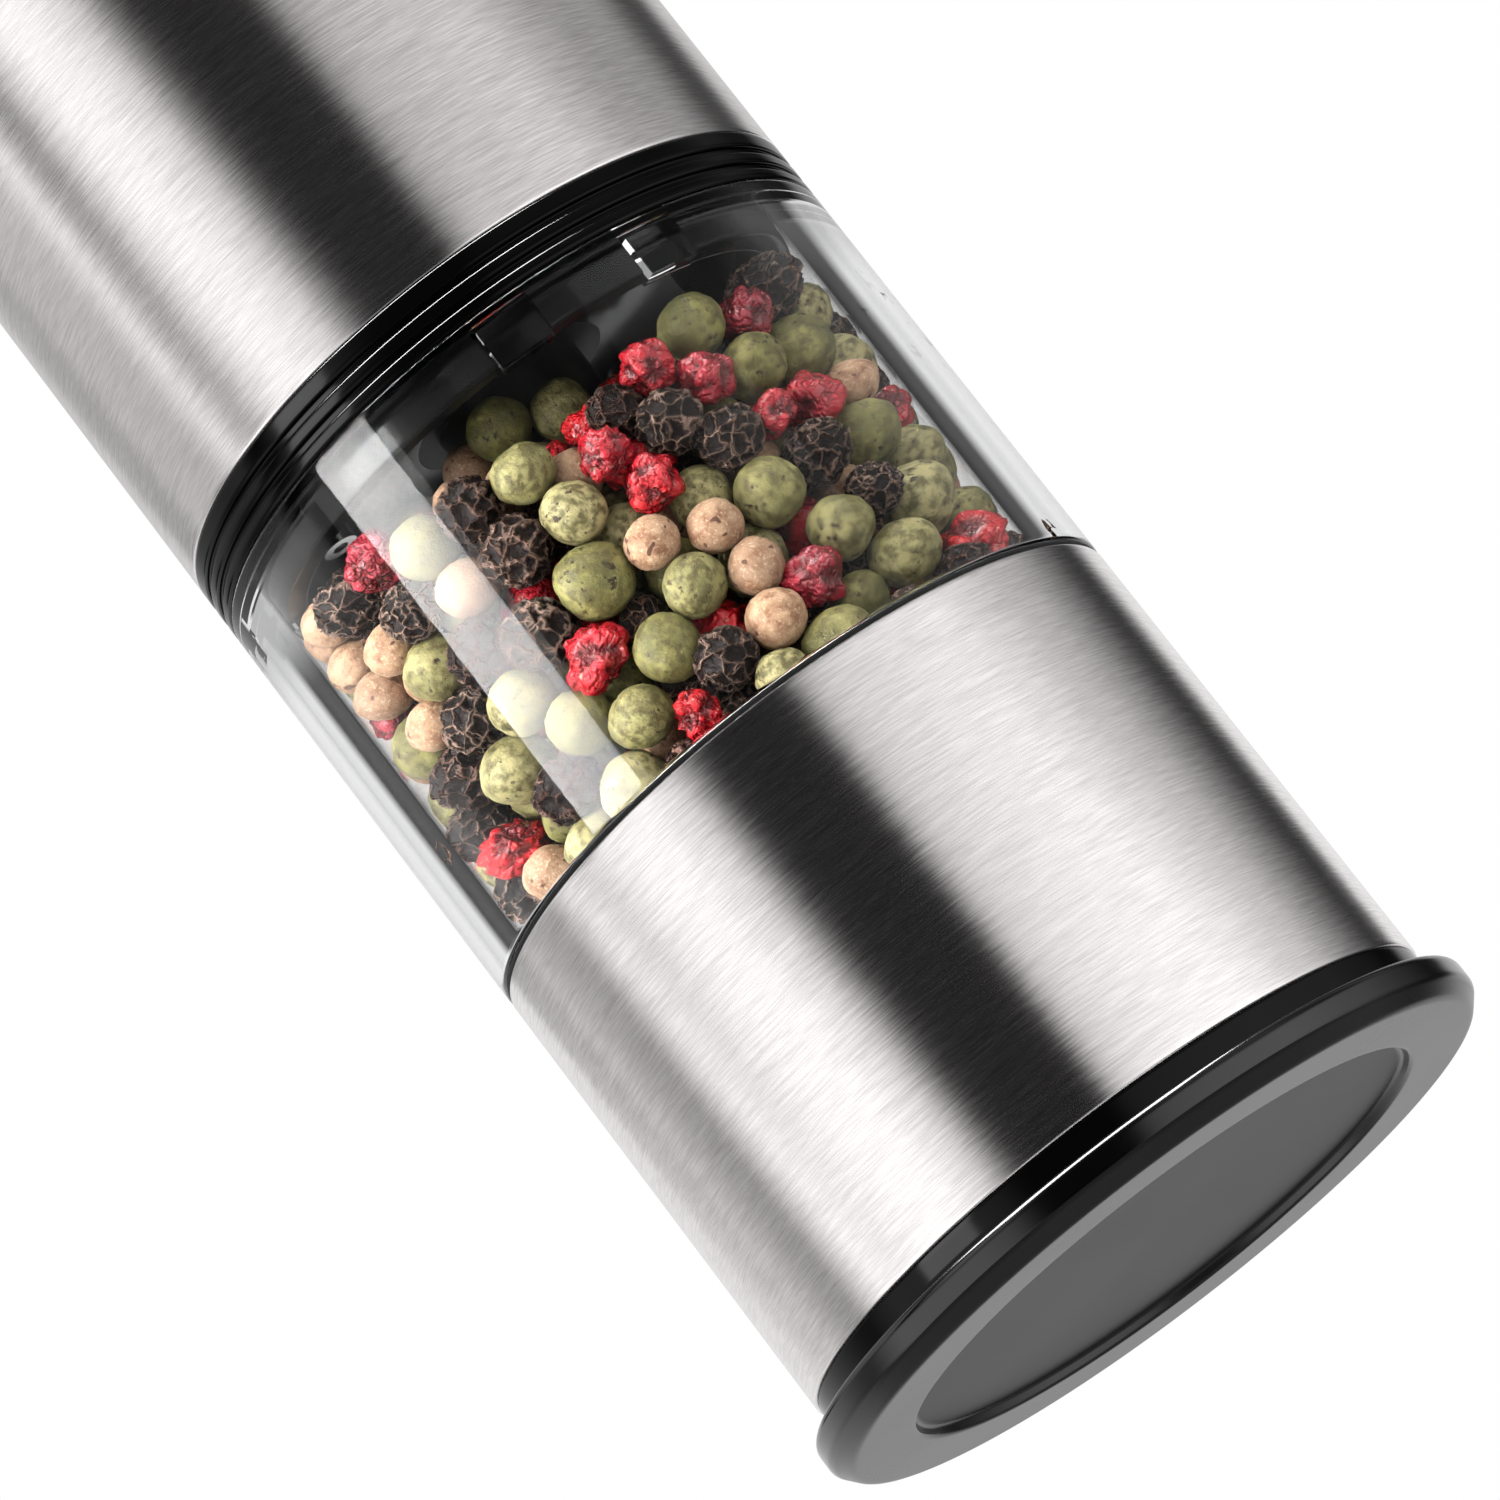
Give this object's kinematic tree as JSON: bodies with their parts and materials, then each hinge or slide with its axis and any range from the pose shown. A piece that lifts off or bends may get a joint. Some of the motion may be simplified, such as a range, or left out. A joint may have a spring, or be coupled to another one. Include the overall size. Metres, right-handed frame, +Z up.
{
  "type": "electric spice grinder",
  "caption": "Battery spice grinder: clear jar with ceramic burrs below, planetary gear motor and cells in a lift-off steel tube, push button on top, pull-off base cap.",
  "frame": {"origin": "centre of the face the grinder stands on, under the base cap", "axes": "+Z up along the grinder's axis from the base cap to the push button; +X towards the first of the three screws in the base ring"},
  "size_m": [0.0556, 0.0556, 0.2187],
  "materials": {
    "steel_tube": "satin",
    "black_gloss": "gloss",
    "black_plastic": "satin",
    "grey_cap": "satin",
    "clear_jar": "gloss",
    "rubber_seal": "matte",
    "ceramic_burr": "matte",
    "bright_steel": "polished",
    "spring_steel": "polished",
    "nylon_gear": "satin",
    "brass_part": "satin",
    "iron_core": "satin",
    "magnet": "matte",
    "cell_jacket": "satin",
    "board_green": "satin",
    "motor_steel": "satin"
  },
  "bodies": {
    "root": {"base_ring": "black_gloss", "base_screws": "bright_steel", "lower_sleeve": "steel_tube", "sleeve_seal": "rubber_seal", "pepper_jar": "clear_jar", "grinder_housing": "black_plastic", "burr_ring": "ceramic_burr", "shaft_guide": "black_plastic"},
    "cap": {"base_cap": "grey_cap"},
    "shaft": {"drive_shaft": "bright_steel", "shaft_clip": "spring_steel", "burr_spring": "spring_steel"},
    "cone": {"burr_cone": "ceramic_burr"},
    "knob": {"grind_knob": "black_plastic"},
    "head": {"lock_ring": "black_gloss", "neck_seal": "rubber_seal", "output_bush": "brass_part", "gearbox_screws": "bright_steel", "frame_screws": "bright_steel", "motor_frame": "black_plastic", "gearbox_case": "nylon_gear", "gearbox_cover": "nylon_gear", "motor_can": "motor_steel", "motor_magnets": "magnet", "motor_end_cap": "black_plastic", "motor_screws": "bright_steel", "battery_holder": "black_plastic", "battery_cells": "cell_jacket", "lower_contacts": "spring_steel", "upper_contacts": "spring_steel", "contact_springs": "spring_steel", "holder_screws": "bright_steel", "lead_strips": "brass_part", "circuit_board": "board_green", "switch_body": "black_plastic"},
    "output": {"output_carrier": "nylon_gear"},
    "low_planet_1": {"low_planet_1": "nylon_gear"},
    "low_planet_2": {"low_planet_2": "nylon_gear"},
    "low_planet_3": {"low_planet_3": "nylon_gear"},
    "sun": {"sun_carrier": "nylon_gear"},
    "high_planet_1": {"high_planet_1": "nylon_gear"},
    "high_planet_2": {"high_planet_2": "nylon_gear"},
    "high_planet_3": {"high_planet_3": "nylon_gear"},
    "motor": {"motor_pinion": "brass_part", "motor_armature": "iron_core"},
    "shell": {"upper_shell": "steel_tube", "top_cap": "black_gloss", "button_retainer": "black_plastic", "retainer_screws": "bright_steel", "button_spring": "spring_steel"},
    "button": {"push_button": "black_gloss"},
    "plunger": {"switch_plunger": "bright_steel"}
  },
  "joints": [
    {"name": "motor_spin", "type": "hinge", "parent": "head", "child": "motor", "pos_m": [0, 0, 0], "axis": [0, 0, 1], "continuous": true},
    {"name": "head_lift", "type": "slide", "parent": "root", "child": "head", "axis": [0, 0, 1], "range_m": [0, 0.03]},
    {"name": "shell_lift", "type": "slide", "parent": "head", "child": "shell", "axis": [0, 0, 1], "range_m": [0, 0.14]},
    {"name": "button_press", "type": "slide", "parent": "shell", "child": "button", "axis": [0, 0, -1], "range_m": [0, 0.0015], "stiffness_N_per_m": 600, "springref_m": -0.003, "deforming": ["button_spring"]},
    {"name": "plunger_press", "type": "slide", "parent": "head", "child": "plunger", "axis": [0, 0, -1], "range_m": [0, 0.0015]},
    {"name": "cap_pull", "type": "slide", "parent": "root", "child": "cap", "axis": [0, 0, -1], "range_m": [0, 0.03]},
    {"name": "shaft_spin", "type": "hinge", "parent": "root", "child": "shaft", "pos_m": [0, 0, 0], "axis": [0, 0, 1], "continuous": true},
    {"name": "burr_gap", "type": "slide", "parent": "shaft", "child": "cone", "axis": [0, 0, 1], "range_m": [-0.0008, 0.0008], "deforming": ["burr_spring"]},
    {"name": "knob_turn", "type": "hinge", "parent": "cone", "child": "knob", "pos_m": [0, 0, 0], "axis": [0, 0, 1], "range_deg": [-360, 360]},
    {"name": "output_spin", "type": "hinge", "parent": "head", "child": "output", "pos_m": [0, 0, 0], "axis": [0, 0, 1], "continuous": true},
    {"name": "sun_spin", "type": "hinge", "parent": "head", "child": "sun", "pos_m": [0, 0, 0], "axis": [0, 0, 1], "continuous": true},
    {"name": "low_planet_1_spin", "type": "hinge", "parent": "output", "child": "low_planet_1", "pos_m": [0.009, 0, 0], "axis": [0, 0, 1], "continuous": true},
    {"name": "high_planet_1_spin", "type": "hinge", "parent": "sun", "child": "high_planet_1", "pos_m": [0.009, 0, 0], "axis": [0, 0, 1], "continuous": true},
    {"name": "low_planet_2_spin", "type": "hinge", "parent": "output", "child": "low_planet_2", "pos_m": [-0.0045, 0.00779, 0], "axis": [0, 0, 1], "continuous": true},
    {"name": "high_planet_2_spin", "type": "hinge", "parent": "sun", "child": "high_planet_2", "pos_m": [-0.0045, 0.00779, 0], "axis": [0, 0, 1], "continuous": true},
    {"name": "low_planet_3_spin", "type": "hinge", "parent": "output", "child": "low_planet_3", "pos_m": [-0.0045, -0.00779, 0], "axis": [0, 0, 1], "continuous": true},
    {"name": "high_planet_3_spin", "type": "hinge", "parent": "sun", "child": "high_planet_3", "pos_m": [-0.0045, -0.00779, 0], "axis": [0, 0, 1], "continuous": true}
  ],
  "couplings": [
    {"joint": "shaft_spin", "follows": "motor_spin", "ratio": 0.04},
    {"joint": "output_spin", "follows": "motor_spin", "ratio": 0.04},
    {"joint": "sun_spin", "follows": "motor_spin", "ratio": 0.2},
    {"joint": "knob_turn", "follows": "burr_gap", "rad_per_m": 7854},
    {"joint": "plunger_press", "follows": "button_press", "ratio": 1},
    {"joint": "low_planet_1_spin", "follows": "motor_spin", "ratio": -0.10667},
    {"joint": "high_planet_1_spin", "follows": "motor_spin", "ratio": -0.53333},
    {"joint": "low_planet_2_spin", "follows": "motor_spin", "ratio": -0.10667},
    {"joint": "high_planet_2_spin", "follows": "motor_spin", "ratio": -0.53333},
    {"joint": "low_planet_3_spin", "follows": "motor_spin", "ratio": -0.10667},
    {"joint": "high_planet_3_spin", "follows": "motor_spin", "ratio": -0.53333}
  ]
}
